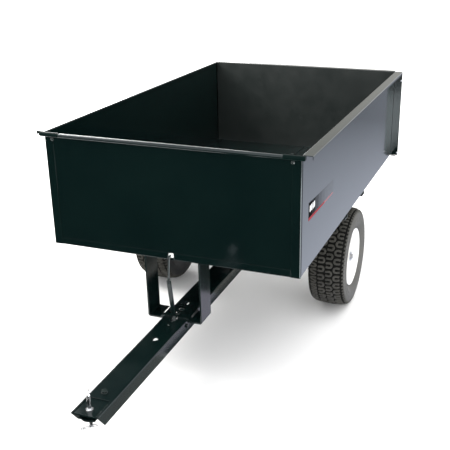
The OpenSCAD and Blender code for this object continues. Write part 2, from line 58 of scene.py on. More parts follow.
# ------------------------------------------------------------------ camera
cam_data = bpy.data.cameras.new("camera")
cam = bpy.data.objects.new("camera", cam_data)
bpy.context.scene.collection.objects.link(cam)
yaw, pitch, roll = math.radians(20.58), math.radians(20.99), math.radians(-0.44)
d = Vector((-math.sin(yaw) * math.cos(pitch), math.cos(yaw) * math.cos(pitch), -math.sin(pitch)))
r = Vector((math.cos(yaw), math.sin(yaw), 0))
u = r.cross(d)
r2 = r * math.cos(roll) + u * math.sin(roll)
u2 = -r * math.sin(roll) + u * math.cos(roll)
cam.matrix_world = Matrix(((r2.x, u2.x, -d.x, 1.0351), (r2.y, u2.y, -d.y, -2.4958),
                           (r2.z, u2.z, -d.z, 1.4105), (0, 0, 0, 1)))
cam_data.sensor_width = 36
cam_data.lens = 61.95
cam_data.shift_x = -0.054
cam_data.shift_y = -0.003
cam_data.clip_end = 60
bpy.context.scene.camera = cam
bpy.context.scene.view_settings.view_transform = "Standard"


# ------------------------------------------------------------------ materials
def mat_new(name):
    m = bpy.data.materials.new(name)
    m.use_nodes = True
    nt = m.node_tree
    return m, nt, nt.nodes, nt.links, nt.nodes["Principled BSDF"]


def noise(nt, coord, scale, detail=4, rough=0.55):
    n = nt.nodes.new("ShaderNodeTexNoise")
    n.inputs["Scale"].default_value = scale
    n.inputs["Detail"].default_value = detail
    n.inputs["Roughness"].default_value = rough
    nt.links.new(coord, n.inputs["Vector"])
    return n.outputs["Fac"]


def maprange(nt, src, a, b, lo=0.3, hi=0.7):
    n = nt.nodes.new("ShaderNodeMapRange")
    n.inputs["From Min"].default_value = lo
    n.inputs["From Max"].default_value = hi
    n.inputs["To Min"].default_value = a
    n.inputs["To Max"].default_value = b
    nt.links.new(src, n.inputs["Value"])
    return n.outputs["Result"]


def mix(nt, fac, a, b):
    n = nt.nodes.new("ShaderNodeMix")
    n.data_type = "RGBA"
    nt.links.new(fac, n.inputs[0])
    for sock, v in ((n.inputs[6], a), (n.inputs[7], b)):
        if hasattr(v, "links"):
            nt.links.new(v, sock)
        else:
            sock.default_value = (*v, 1)
    return n.outputs[2]


def bumps(nt, bsdf, layers, bevel=0.0):
    """layers: (height socket, strength, distance). bevel rounds the edges' shading."""
    last = None
    if bevel:
        bv = nt.nodes.new("ShaderNodeBevel")
        bv.samples = 4
        bv.inputs["Radius"].default_value = bevel
        last = bv.outputs["Normal"]
    for h, s, dist in layers:
        b = nt.nodes.new("ShaderNodeBump")
        b.inputs["Strength"].default_value = s
        b.inputs["Distance"].default_value = dist
        nt.links.new(h, b.inputs["Height"])
        if last is not None:
            nt.links.new(last, b.inputs["Normal"])
        last = b.outputs["Normal"]
    if last is not None:
        nt.links.new(last, bsdf.inputs["Normal"])


def edge_mask(nt, radius=0.0012):
    """1 on sharp edges, 0 on flat faces."""
    g = nt.nodes.new("ShaderNodeNewGeometry")
    bv = nt.nodes.new("ShaderNodeBevel")
    bv.samples = 4
    bv.inputs["Radius"].default_value = radius
    dot = nt.nodes.new("ShaderNodeVectorMath")
    dot.operation = "DOT_PRODUCT"
    nt.links.new(g.outputs["Normal"], dot.inputs[0])
    nt.links.new(bv.outputs["Normal"], dot.inputs[1])
    return maprange(nt, dot.outputs["Value"], 1, 0, 0.86, 0.998)


def surface(name, c1, c2, rough, metallic=0.0, ior=1.45, var=6, fine=900, fine_s=0.05, fine_d=0.0002,
            wave=0.0, bevel=0.0, wear=None, coat=0.0, tint=None, speck=0.0):
    m, nt, n, l, b = mat_new(name)
    tc = n.new("ShaderNodeTexCoord").outputs["Object"]
    big = noise(nt, tc, var)
    col = mix(nt, maprange(nt, big, 0, 1), c1, c2)
    if speck:
        col = mix(nt, maprange(nt, noise(nt, tc, 420, 2), 0, speck, 0.62, 0.8), col, tuple(min(1, 1.6 * x + 0.01) for x in c2))
    if wear:
        col = mix(nt, maprange(nt, edge_mask(nt), 0, 0.55, 0, 1), col, wear)
    l.new(col, b.inputs["Base Color"])
    l.new(maprange(nt, noise(nt, tc, var * 4, 6), rough * 0.88, rough * 1.15), b.inputs["Roughness"])
    b.inputs["Metallic"].default_value = metallic
    b.inputs["IOR"].default_value = ior
    b.inputs["Coat Weight"].default_value = coat
    b.inputs["Coat Roughness"].default_value = 0.05
    if tint:
        b.inputs["Specular Tint"].default_value = (*tint, 1)
    layers = []
    if wave:
        layers.append((noise(nt, tc, 3.2, 1), wave, 0.004))
    layers.append((noise(nt, tc, fine, 2), fine_s, fine_d))
    bumps(nt, b, layers, bevel)
    return m


GREEN, GREEN2 = (0.0016, 0.0060, 0.0058), (0.0024, 0.0078, 0.0072)
PAINT = surface("paint_panel", GREEN, GREEN2, 0.10, ior=1.5, fine=1300, fine_s=0.03, fine_d=0.0001, wave=0.02,
                wear=(0.02, 0.032, 0.03), tint=(0.90, 0.95, 1.0))
# Satin copy of the green paint for the tailgate: its base is lighter and greyer as painted light on the lit tailgate
# inside.
PAINT_IN = surface("paint_panel_satin_painted_light", (0.0112, 0.0152, 0.0145), (0.0170, 0.0210, 0.0200), 0.42, coat=0.6, ior=1.5, fine=1300, fine_s=0.03, fine_d=0.0001,
                   wave=0.02, wear=(0.02, 0.032, 0.03))
PAINT_CAD = surface("paint_frame", GREEN, GREEN2, 0.14, ior=1.45, fine=900, fine_s=0.06, fine_d=0.00012,
                    bevel=0.0012, wear=(0.03, 0.042, 0.04), tint=(0.92, 0.96, 1.0))
PAINT_FAST = surface("paint_fastener", (0.006, 0.012, 0.011), (0.010, 0.018, 0.017), 0.2, bevel=0.0006,
                     wear=(0.08, 0.09, 0.09))
PAINT_LOW = surface("paint_dark", GREEN, GREEN2, 0.22, ior=1.10, fine=900, fine_s=0.06, fine_d=0.00012,
                    wear=(0.03, 0.042, 0.04))
ZINC = surface("zinc_plated", (0.50, 0.51, 0.53), (0.66, 0.67, 0.70), 0.30, metallic=1, ior=1.45, var=60, fine=1500,
               fine_s=0.12, fine_d=0.0001, bevel=0.0006, wear=(0.8, 0.8, 0.8))
ZINC_PIN = surface("zinc_bright", (0.66, 0.67, 0.69), (0.80, 0.80, 0.82), 0.20, metallic=1, var=70, fine=1400,
                   fine_s=0.1, fine_d=0.0001, bevel=0.0005, wear=(0.9, 0.9, 0.9))
STEEL = surface("axle_steel", (0.30, 0.30, 0.31), (0.42, 0.41, 0.40), 0.34, metallic=1, var=40, fine=1100,
                fine_s=0.15, fine_d=0.0001, wear=(0.6, 0.6, 0.6))
SPRING = surface("spring_wire", (0.30, 0.30, 0.31), (0.45, 0.45, 0.46), 0.28, metallic=1, var=120, fine=1600,
                 fine_s=0.1, fine_d=0.00008)
SPACER = surface("spacer_black", (0.010, 0.012, 0.012), (0.018, 0.020, 0.020), 0.3, bevel=0.0008,
                 wear=(0.1, 0.1, 0.1))
TREAD = surface("tread_rubber", (0.034, 0.034, 0.029), (0.062, 0.060, 0.052), 0.6, ior=1.3, var=14, fine=700,
                fine_s=0.25, fine_d=0.0004, speck=0.4, wear=(0.16, 0.155, 0.14))
# Crown between the tread blocks: darker than the tread rubber as painted shade in the grooves.
CARCASS = surface("groove_rubber_painted_shade", (0.007, 0.0075, 0.007), (0.014, 0.014, 0.013), 0.9, ior=1.1, var=16, fine=500, fine_s=0.3,
                  fine_d=0.0005, speck=0.2)
# Outer sidewall: same rubber with a lighter base colour as a painted sheen.
SIDEWALL = surface("sidewall_rubber_painted_sheen", (0.085, 0.084, 0.079), (0.120, 0.118, 0.112), 0.6, ior=1.2, var=10, fine=600,
                   fine_s=0.2, fine_d=0.0003, speck=0.3)
# Inner sidewall: same rubber with a darker base colour as painted shade under the bed.
SIDEWALL_IN = surface("sidewall_painted_shade", (0.022, 0.023, 0.024), (0.040, 0.041, 0.041), 0.6, ior=1.2, var=10, fine=600,
                      fine_s=0.2, fine_d=0.0003, speck=0.3)
WHITE = surface("wheel_enamel", (0.84, 0.84, 0.82), (0.92, 0.92, 0.90), 0.22, ior=1.5, var=9, fine=900, fine_s=0.06,
                fine_d=0.0001, bevel=0.001, wear=(0.95, 0.95, 0.94), coat=0.4)
NYLON = surface("bush_nylon", (0.035, 0.035, 0.035), (0.06, 0.06, 0.06), 0.5, var=50, fine=800, fine_s=0.15,
                fine_d=0.0002, bevel=0.0005)
VALVE = surface("valve_rubber", (0.014, 0.014, 0.014), (0.028, 0.028, 0.028), 0.6, var=60, fine=900, fine_s=0.2,
                fine_d=0.0002)
BRASS = surface("valve_cap", (0.02, 0.02, 0.02), (0.035, 0.035, 0.035), 0.35, var=80, fine=1200, fine_s=0.1,
                fine_d=0.0001)


def use(node, m):
    o = NODES[node]
    o.data.materials.clear()
    o.data.materials.append(m)


for nm, o in NODES.items():
    use(nm, PAINT_CAD)
for nm in ("floor_seam_bolts", "corner_rivets", "stand_bolts", "latch_pivot_bolt", "hitch_bolt"):
    use(nm, PAINT_FAST)
for nm in ("rim_cap_left", "rim_cap_right"):
    use(nm, PAINT_LOW)
for nm in ("channel_bolts", "bracket_bolts", "axle_washers",
           "axle_cotter_pins", "latch_spacers"):
    use(nm, ZINC)
for nm in ("hitch_pin", "hair_cotter"):
    use(nm, ZINC_PIN)
use("latch_spring", SPRING)
use("axle", STEEL)
use("axle_spacers", SPACER)
for s in ("left", "right"):
    use("tyre_" + s, SIDEWALL)
    use("rim_outer_" + s, WHITE)
    use("rim_inner_" + s, WHITE)
    use("hub_" + s, WHITE)
    use("hub_bushes_" + s, NYLON)
    use("valve_stem_" + s, VALVE)


# ------------------------------------------------------------------ mesh helpers
class Mesh:
    def __init__(self):
        self.v, self.f, self.m = [], [], []

    def add(self, verts, faces, mi=0):
        k = len(self.v)
        self.v += [tuple(p) for p in verts]
        self.f += [tuple(i + k for i in f) for f in faces]
        self.m += [mi] * len(faces)

    def obj(self, name, mats, body, replaces=(), angle=32):
        me = bpy.data.meshes.new(name)
        me.from_pydata(self.v, [], self.f)
        for m in mats:
            me.materials.append(m)
        me.polygons.foreach_set("material_index", self.m)
        bm = bmesh.new()
        bm.from_mesh(me)
        bmesh.ops.remove_doubles(bm, verts=bm.verts, dist=1e-6)
        bmesh.ops.recalc_face_normals(bm, faces=bm.faces)
        for e in bm.edges:
            e.smooth = len(e.link_faces) == 2 and e.calc_face_angle(3.2) < math.radians(angle)
        for f in bm.faces:
            f.smooth = True
        bm.to_mesh(me)
        bm.free()
        o = bpy.data.objects.new(name, me)
        bpy.context.scene.collection.objects.link(o)
        wn = o.modifiers.new("normals", "WEIGHTED_NORMAL")
        wn.keep_sharp = True
        wn.weight = 90
        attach(o, body)
        if replaces:
            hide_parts(*replaces)
        return o


def fillet(path, rad, n=5):
    """Rounds the inner corners of a 2-D path; rad is one number or one a corner."""
    out = [path[0]]
    rr = rad if isinstance(rad, (list, tuple)) else [rad] * (len(path) - 2)
    for i in range(1, len(path) - 1):
        p, a, b = Vector(path[i]), Vector(path[i - 1]), Vector(path[i + 1])
        da, db = (a - p).normalized(), (b - p).normalized()
        ang = da.angle(db)
        if rr[i - 1] <= 0 or ang > 3.13:
            out.append(tuple(p))
            continue
        dist = rr[i - 1] / math.tan(ang / 2)
        c = p + (da + db).normalized() * (rr[i - 1] / math.sin(ang / 2))
        s, e = p + da * dist, p + db * dist
        a0, a1 = math.atan2(s.y - c.y, s.x - c.x), math.atan2(e.y - c.y, e.x - c.x)
        while a1 - a0 > math.pi:
            a1 -= 2 * math.pi
        while a1 - a0 < -math.pi:
            a1 += 2 * math.pi
        for k in range(n + 1):
            q = a0 + (a1 - a0) * k / n
            out.append((c.x + rr[i - 1] * math.cos(q), c.y + rr[i - 1] * math.sin(q)))
    out.append(path[-1])
    return out


def thicken(path, th):
    """Closed outline of a strip of thickness th centred on the path."""
    L, R = [], []
    n = len(path)
    for i in range(n):
        p = Vector(path[i])
        a = Vector(path[max(i - 1, 0)])
        b = Vector(path[min(i + 1, n - 1)])
        t0 = (p - a).normalized() if i else (b - p).normalized()
        t1 = (b - p).normalized() if i < n - 1 else t0
        n0, n1 = Vector((-t0.y, t0.x)), Vector((-t1.y, t1.x))
        m = (n0 + n1).normalized()
        k = th / 2 / max(m.dot(n0), 0.3)
        L.append(p + m * k)
        R.append(p - m * k)
    return L, R


def strip(mesh, path, th, to3, steps, mi=0, chamfer=0.0003):
    """Extrudes a sheet profile (2-D centre path) over the values in steps; to3(a, b, s) gives the 3-D point."""
    n = len(path)
    st = list(steps)
    L0, R0 = thicken(path, th)
    L1, R1 = thicken(path, th - 2 * chamfer)
    sgn = 1 if st[-1] > st[0] else -1
    secs = [(st[0], L1, R1), (st[0] + sgn * chamfer, L0, R0)]
    secs += [(s, L0, R0) for s in st[1:-1]]
    secs += [(st[-1] - sgn * chamfer, L0, R0), (st[-1], L1, R1)]
    V, F = [], []
    m = 2 * n
    for s, L, R in secs:
        V += [to3(p.x, p.y, s) for p in L] + [to3(p.x, p.y, s) for p in reversed(R)]
    for k in range(len(secs) - 1):
        for i in range(m):
            j = (i + 1) % m
            F.append((k * m + i, k * m + j, (k + 1) * m + j, (k + 1) * m + i))
    for k in (0, len(secs) - 1):
        for i in range(n - 1):
            F.append((k * m + i, k * m + i + 1, k * m + m - 2 - i, k * m + m - 1 - i))
    mesh.add(V, F, mi)


def tube(mesh, pts, rad, seg=12, mi=0, closed=False, cap=True):
    """Round tube along 3-D points; rad is one number or one a point."""
    n = len(pts)
    pts = [Vector(p) for p in pts]
    rr = rad if isinstance(rad, (list, tuple)) else [rad] * n
    V, F = [], []
    up = None
    for i, p in enumerate(pts):
        a = pts[(i - 1) % n] if closed or i else p
        b = pts[(i + 1) % n] if closed or i < n - 1 else p
        t = (b - a).normalized()
        if up is None:
            up = Vector((0, 0, 1)) if abs(t.z) < 0.9 else Vector((1, 0, 0))
        x = (up - t * up.dot(t)).normalized()
        up = x
        y = t.cross(x)
        for k in range(seg):
            q = 2 * math.pi * k / seg
            V.append(p + (x * math.cos(q) + y * math.sin(q)) * rr[i])
    for i in range(n if closed else n - 1):
        j = (i + 1) % n
        for k in range(seg):
            k2 = (k + 1) % seg
            F.append((i * seg + k, i * seg + k2, j * seg + k2, j * seg + k))
    if cap and not closed:
        F.append(tuple(range(seg))[::-1])
        F.append(tuple((n - 1) * seg + k for k in range(seg)))
    mesh.add(V, F, mi)


def lin(a, b, n):
    return [a + (b - a) * i / n for i in range(n + 1)]


# ------------------------------------------------------------------ box panels, folded sheet with real bend radii
BR = 0.0026          # bend radius of the sheet's centre line
h = T / 2
roll_r, roll_y = 0.007, 2 * T - 0.007
roll_z = RIM_Z - 0.0015 - roll_r
fl_top = roll_z - roll_r - 0.0003
for s, side in ((-1, "left"), (1, "right")):
    M = Mesh()
    X = lambda a, b, y, s=s: (s * a, yy(y), b)
    xo = HW + RIM_W
    # bottom flange, wall, top flange and lip in one folded section
    main = fillet([(HW - 0.027, BED_Z + 1.5 * T), (HW - h, BED_Z + 1.5 * T), (HW - h, RIM_Z - h), (xo - h, RIM_Z - h),
                   (xo - h, RIM_Z - LIP)], [BR, BR, BR], 5)
    strip(M, main, T, X, [roll_y + roll_r + 0.0006] + lin(0.05, 1.40, 9) + [BED_L - 0.0022])
    # front flange folded in along the front edge, and the rear flange folded out
    Z = lambda a, b, z, s=s: (s * a, yy(b), z)
    strip(M, fillet([(HW - FRF, h), (HW - h, h), (HW - h, 0.0102)], [BR], 6), T, Z,
          [BED_Z + 0.0002] + lin(BED_Z + 0.05, fl_top - 0.05, 5) + [fl_top])
    strip(M, fillet([(HW - h, BED_L - 0.012), (HW - h, BED_L - h), (HW + RIM_W - 0.0005, BED_L - h)], [BR], 6), T, Z,
          [BED_Z + 0.004] + lin(BED_Z + 0.05, RIM_Z - 0.06, 5) + [RIM_Z - 0.0026])
    M.obj("side_" + side, [PAINT], "bed", ("side_panel_" + side,), 40)

    # tailgate channel: leg on the rear flange, web and rear lip
    M = Mesh()
    cb = BED_L + 0.008
    strip(M, fillet([(HW + RIM_W, BED_L + h), (HW + 0.022, BED_L + h), (HW + 0.022, cb - h), (HW - 0.002, cb - h)],
                    [0.0018, 0.0018], 4), T, Z, [BED_Z + 0.002] + lin(BED_Z + 0.06, RIM_Z - 0.06, 4) + [RIM_Z - 0.002])
    Zs = lambda a, b, y, s=s: (s * a, yy(y), b)
    strip(M, fillet([(HW - 0.002, BED_Z - 0.003), (HW + 0.022, BED_Z - 0.003), (HW + 0.022, BED_Z + 0.002)],
                    [0.0016], 4), T, Zs, [BED_L + 0.0003, cb - 0.0003])
    M.obj("channel_" + side, [PAINT_LOW], "bed", ("tailgate_channel_" + side,), 40)

# front panel with its rolled rim
M = Mesh()
P = lambda a, b, x: (x, yy(a), b)
full = [-HW + T + 0.0003] + lin(-0.38, 0.38, 8) + [HW - T - 0.0003]
strip(M, [(1.5 * T, BED_Z + 0.023)] + [(1.5 * T, z) for z in lin(BED_Z + 0.06, roll_z - 0.06, 4)] + [(1.5 * T, roll_z)],
      T, P, full)
# the rows beside and under the hole for the latch nose
strip(M, [(1.5 * T, BED_Z + T), (1.5 * T, BED_Z + 0.0085)], T, P, full)
strip(M, [(1.5 * T, BED_Z + 0.0085), (1.5 * T, BED_Z + 0.023)], T, P, [-HW + T + 0.0003] + lin(-0.38, -0.05, 4) + [-0.009])
strip(M, [(1.5 * T, BED_Z + 0.0085), (1.5 * T, BED_Z + 0.023)], T, P, [0.009] + lin(0.05, 0.38, 4) + [HW - T - 0.0003])
arc = [(roll_y + (roll_r - h) * math.cos(math.radians(q)), roll_z + (roll_r - h) * math.sin(math.radians(q)))
       for q in range(0, 301, 12)]
strip(M, arc, T, P, [-HW - 0.010] + lin(-0.40, 0.40, 8) + [HW + 0.010])
M.obj("front_sheet", [PAINT], "bed", ("front_panel",), 40)

# floor halves: plate and up-turned front flange
cross_l = fillet([(h, BED_Z + FLF), (h, BED_Z + h), (BED_L - 0.0003, BED_Z + h)], [BR], 6)
F1 = lambda a, b, x: (x, yy(a), b)
M = Mesh()
strip(M, cross_l, T, F1, [-HW + FRF + 0.0003] + lin(-0.35, -0.05, 4) + [-0.0102])
strip(M, [(T + 0.0003, BED_Z + h), (0.7, BED_Z + h), (BED_L - 0.0003, BED_Z + h)], T, F1,
      [-HW + T + 0.0003, -HW + FRF + 0.0001])
strip(M, fillet([(h, BED_Z + 0.009), (h, BED_Z + h), (BED_L - 0.0003, BED_Z + h)], [BR], 6), T, F1, [-0.0100, -0.0002])
strip(M, [(T + 0.0003, BED_Z + h), (0.7, BED_Z + h), (BED_L - 0.0003, BED_Z + h)], T, F1, [0.0, 0.0117])
M.obj("floor_half_left", [PAINT], "bed", ("floor_left",), 40)
M = Mesh()
strip(M, cross_l, T, F1, [0.0121] + lin(0.05, 0.35, 4) + [HW - FRF - 0.0003])
strip(M, [(T + 0.0003, BED_Z + h), (0.7, BED_Z + h), (BED_L - 0.0003, BED_Z + h)], T, F1,
      [HW - FRF - 0.0001, HW - T - 0.0003])
strip(M, [(h, BED_Z + FLF), (h, BED_Z + 0.0102)], T, F1, [0.0101, 0.0119])
strip(M, [(h, BED_Z + 0.009), (h, BED_Z + 0.0002)], T, F1, [0.0003, 0.0119])
# lap joint over the left half, its edge dressed down
strip(M, [(2 * T + 0.0003, BED_Z + 1.5 * T), (0.7, BED_Z + 1.5 * T), (BED_L - 0.0003, BED_Z + 1.5 * T)], T, F1,
      [-0.012, 0.014])
M.obj("floor_half_right", [PAINT], "bed", ("floor_right",), 40)

# tailgate: bottom lip, plate, top flange and lip
GT = 0.0016
g = BED_L + 0.002 + GT / 2
M = Mesh()
gsec = fillet([(BED_L + 0.018, BED_Z - 0.0019 + GT / 2), (g, BED_Z - 0.0019 + GT / 2), (g, RIM_Z - GT / 2),
               (BED_L + 0.024 - GT / 2, RIM_Z - GT / 2), (BED_L + 0.024 - GT / 2, RIM_Z - 0.014)],
              [0.0022, 0.0022, 0.0022], 5)
strip(M, gsec, GT, P, [-HW + 0.006] + lin(-0.38, 0.38, 8) + [HW - 0.006])
for s in (-1, 1):
    strip(M, [(g, BED_Z + 0.0002), (g, 0.6), (g, RIM_Z - 0.003)], GT, P, [s * (HW - 0.0063), s * (HW + 0.019)])
# The tailgate gets the lighter satin paint, which carries painted light.
M.obj("tailgate_sheet", [PAINT_IN], "tailgate", ("tailgate",), 40)

# ------------------------------------------------------------------ latch spring: a real coil with two hooks
M = Mesh()
py, sy = 0.009 - AXLE_Y, 0.118 - AXLE_Y
y0, y1 = py + 0.008, sy - 0.015 - 0.008
turns, R0 = 44, 0.0042
pts = []
zc, xc = 0.0096, -0.013
for i in range(13):
    q = math.pi * (1.5 - 1.6 * i / 12)
    pts.append(tongue_pt(xc, py + 0.0042 + 0.0036 * math.cos(q + math.pi / 2), zc + 0.0036 * math.sin(q + math.pi / 2)))
for i in range(turns * 14 + 1):
    q = 2 * math.pi * i / 14
    pts.append(tongue_pt(xc + R0 * math.sin(q), y0 + (y1 - y0) * i / (turns * 14), zc + R0 * math.cos(q)))
for i in range(13):
    q = math.pi * (-0.5 + 1.6 * i / 12)
    pts.append(tongue_pt(xc, sy - 0.015 - 0.0042 + 0.0036 * math.sin(q), zc + 0.0036 * math.cos(q)))
tube(M, pts, 0.00075, 8)
M.obj("latch_spring_coil", [SPRING], "tongue", ("latch_spring",), 60)

# ------------------------------------------------------------------ tyres: smooth carcass and S-shaped tread blocks
def wall_x(rad):
    if rad < 0.150:
        return 0.0574 + 0.0151 * math.sin(math.pi / 2 * (rad - 0.114) / 0.036)
    return 0.0725 - 0.009 * (1 - math.cos(math.pi / 2 * (rad - 0.150) / 0.038))


def crown(uu):
    """Outer radius of the carcass at distance uu from the centre plane."""
    a = abs(uu)
    if a < 0.058:
        return 0.1902 - 0.0050 * (a / 0.058) ** 2.6
    q = min(1.0, (a - 0.058) / 0.0125)
    return 0.1852 - 0.0172 * (1 - math.sqrt(max(0.0, 1 - q * q)))


def lathe(mesh, prof, cx, cy, cz, sgn, seg, mi_of):
    n = len(prof)
    V, F, MI = [], [], []
    for k in range(seg):
        q = 2 * math.pi * k / seg
        for x, rad in prof:
            V.append((cx + sgn * x, cy + rad * math.sin(q), cz + rad * math.cos(q)))
    base = len(mesh.v)
    mesh.v += V
    for k in range(seg):
        k2 = (k + 1) % seg
        for i in range(n):
            j = (i + 1) % n
            mesh.f.append((base + k * n + i, base + k * n + j, base + k2 * n + j, base + k2 * n + i))
            mesh.m.append(mi_of(prof[i], prof[j]))


SHAPE_S = [(-0.0100, -0.0072), (-0.0085, -0.0108), (-0.002, -0.0116), (0.0065, -0.0105), (0.0095, -0.0062),
           (0.0060, -0.0018), (0.0, 0.0), (-0.0060, 0.0018), (-0.0095, 0.0062), (-0.0065, 0.0105), (0.002, 0.0116),
           (0.0085, 0.0108), (0.0100, 0.0072)]
SHAPE_C = [(-0.0112, -0.0066), (-0.0050, -0.0082), (0.0030, -0.0086), (0.0088, -0.0060), (0.0106, 0.0),
           (0.0088, 0.0060), (0.0030, 0.0086), (-0.0050, 0.0082), (-0.0112, 0.0066)]


def smooth_path(p, n=3):
    out = []
    for i in range(len(p) - 1):
        a, b, c, e = p[max(i - 1, 0)], p[i], p[i + 1], p[min(i + 2, len(p) - 1)]
        for k in range(n):
            t = k / n
            out.append(tuple(0.5 * ((2 * b[j]) + (-a[j] + c[j]) * t + (2 * a[j] - 5 * b[j] + 4 * c[j] - e[j]) * t * t
                                    + (-a[j] + 3 * b[j] - 3 * c[j] + e[j]) * t ** 3) for j in (0, 1)))
    out.append(p[-1])
    return out


def tread_block(mesh, path, width, u0, phi0, cx, cy, cz, sgn, height=0.0046):
    """A raised rib along a (u, v) path on the carcass; v is arc length round the tyre."""
    n = len(path)
    V, F = [], []
    hw2 = width / 2

    def pt(uu, vv, up):
        rad = crown(uu) + up
        q = phi0 + vv / 0.190
        return (cx + sgn * uu, cy + rad * math.sin(q), cz + rad * math.cos(q))

    for i, (a, b) in enumerate(path):
        p0 = path[max(i - 1, 0)]
        p1 = path[min(i + 1, n - 1)]
        t = Vector((p1[0] - p0[0], p1[1] - p0[1])).normalized()
        nx, ny = -t.y, t.x
        w = hw2 * (0.82 if i in (0, n - 1) else 1.0)
        for off, up in ((-w - 0.0009, -0.0012), (-w, height - 0.0006), (-w + 0.0006, height), (w - 0.0006, height),
                        (w, height - 0.0006), (w + 0.0009, -0.0012)):
            V.append(pt(u0 + a + nx * off, b + ny * off, up))
    k = 6
    for i in range(n - 1):
        for j in range(k):
            j2 = (j + 1) % k
            F.append((i * k + j, i * k + j2, (i + 1) * k + j2, (i + 1) * k + j))
    F.append(tuple(range(k)))
    F.append(tuple((n - 1) * k + j for j in reversed(range(k))))
    mesh.add(V, F, 1)


PITCHES = 36
path_s = smooth_path(SHAPE_S, 2)
path_c = smooth_path(SHAPE_C, 3)
path_d = [(-a, b) for a, b in path_c]
lug = [(0.0, 0.0), (0.004, 0.0006), (0.008, 0.0013), (0.0115, 0.002), (0.0140, 0.0024)]
bar_r = [(-0.0100, -0.0020), (-0.005, -0.0010), (0.0, 0.0), (0.005, 0.0010), (0.0105, 0.0020), (0.0150, 0.0028)]
for s, side in ((-1, "left"), (1, "right")):
    M = Mesh()
    cx, cy, cz = s * WC, yy(AXLE_Y), WR
    outer = [(0.0460, 0.1018), (0.0566, 0.1018), (0.0572, 0.1030), (0.0574, 0.1126), (0.0590, 0.1142)]
    rr = 0.1155
    while rr < 0.1675:
        x = wall_x(rr)
        if 0.1195 < rr < 0.1225:
            x += 0.0012          # bead ring
        if 0.1445 < rr < 0.1462 or 0.1478 < rr < 0.1490:
            x -= 0.0009          # fine moulded rings
        if 0.1605 < rr < 0.1620:
            x -= 0.0007
        outer.append((min(x, 0.0722), rr))
        rr += 0.0013
    outer += [(uu, crown(uu)) for uu in (0.0701, 0.0690, 0.0672, 0.0650, 0.0620, 0.0595, 0.0560, 0.050, 0.042, 0.033,
                                         0.022, 0.011)]
    prof = outer + [(0, crown(0))] + [(-x, q) for x, q in reversed(outer)]
    inner = [(-0.0460, 0.1095), (-0.050, 0.122), (-0.060, 0.142), (-0.0625, 0.158), (-0.055, 0.176), (-0.035, 0.184),
             (0, 0.1855), (0.035, 0.184), (0.055, 0.176), (0.0625, 0.158), (0.060, 0.142), (0.050, 0.122),
             (0.0460, 0.1095)]
    prof += inner
    # Faces by zone: crown between the blocks gets the painted-shade groove rubber, outer sidewall the painted-sheen
    # rubber, inner sidewall the painted-shade rubber.
    lathe(M, prof, cx, cy, cz, s, 144,
          lambda a, b: (3 if min(a[0], b[0]) < 0 else 2) if max(a[1], b[1]) <= 0.1705 or max(abs(a[0]), abs(b[0])) > 0.0685
          else 0)
    for k in range(PITCHES):
        ph = 2 * math.pi * k / PITCHES
        half = math.pi / PITCHES
        tread_block(M, path_s, 0.0060, -0.0460, ph, cx, cy, cz, s, 0.0044)
        tread_block(M, path_c, 0.0068, -0.0165, ph + half, cx, cy, cz, s)
        tread_block(M, path_c, 0.0068, 0.0135, ph, cx, cy, cz, s)
        tread_block(M, path_d, 0.0066, 0.0435, ph + half, cx, cy, cz, s, 0.0044)
        # shoulder lugs, two a pitch
        for kk in (0, 1):
            for sg in (-1, 1):
                lp = [(sg * (0.0632 + (a * 0.42)), b) for a, b in lug]
                tread_block(M, lp, 0.0070, 0.0, ph + kk * half + 0.02, cx, cy, cz, s, 0.0030)
    M.obj("tyre_turf_" + side, [CARCASS, TREAD, SIDEWALL, SIDEWALL_IN], "wheel_" + side, ("tyre_" + side,), 38)

# ------------------------------------------------------------------ weld beads and small wheel details
def bead(mesh, pts, rad, seed, mi=0):
    rnd = random.Random(seed)
    tube(mesh, pts, [rad * (0.85 + 0.3 * rnd.random()) for _ in pts], 8, mi)


for s, side in ((-1, "left"), (1, "right")):
    M = Mesh()
    cx, cy, cz = s * WC, yy(AXLE_Y), WR
    for xo in (0.0205, -0.0165):
        ring = [(cx + s * xo, cy + 0.0168 * math.sin(q), cz + 0.0168 * math.cos(q)) for q in
                [2 * math.pi * i / 40 for i in range(40)]]
        tube(M, ring, [0.0016 * (0.9 + 0.25 * random.random()) for _ in ring], 8, 0, closed=True)
    M.obj("hub_welds_" + side, [WHITE], "wheel_" + side, (), 60)
    # valve cap with a ribbed skirt
    M = Mesh()
    ax = Vector((math.sin(math.radians(122)) * s, 0, math.cos(math.radians(122))))
    o0 = Vector((cx + s * 0.0115, cy, cz + 0.089)) + ax * 0.0272
    e1 = Vector((0, 1, 0))
    e2 = ax.cross(e1)
    V, F = [], []
    rings = ((0.0, 0.0040, 1), (0.0006, 0.0046, 1), (0.0052, 0.0046, 1), (0.0060, 0.0038, 0), (0.0066, 0.0022, 0))
    for dz, rad, rib in rings:
        for i in range(24):
            q = 2 * math.pi * i / 24
            rr_ = rad - (0.0005 if rib and i % 2 else 0)
            V.append(o0 + ax * (dz - 0.0035) + (e1 * math.cos(q) + e2 * math.sin(q)) * rr_)
    for i in range(len(rings) - 1):
        for k in range(24):
            k2 = (k + 1) % 24
            F.append((i * 24 + k, i * 24 + k2, (i + 1) * 24 + k2, (i + 1) * 24 + k))
    F.append(tuple(range(24))[::-1])
    F.append(tuple((len(rings) - 1) * 24 + k for k in range(24)))
    M.add(V, F)
    M.obj("valve_cap_" + side, [BRASS], "wheel_" + side, (), 50)

# ------------------------------------------------------------------ decals: film in slices that fade to the rear
def decal_mat(name, c, ior, rough):
    return surface(name, c, tuple(x * 1.15 for x in c), rough, ior=ior, var=30, fine=900, fine_s=0.03, fine_d=0.0001)


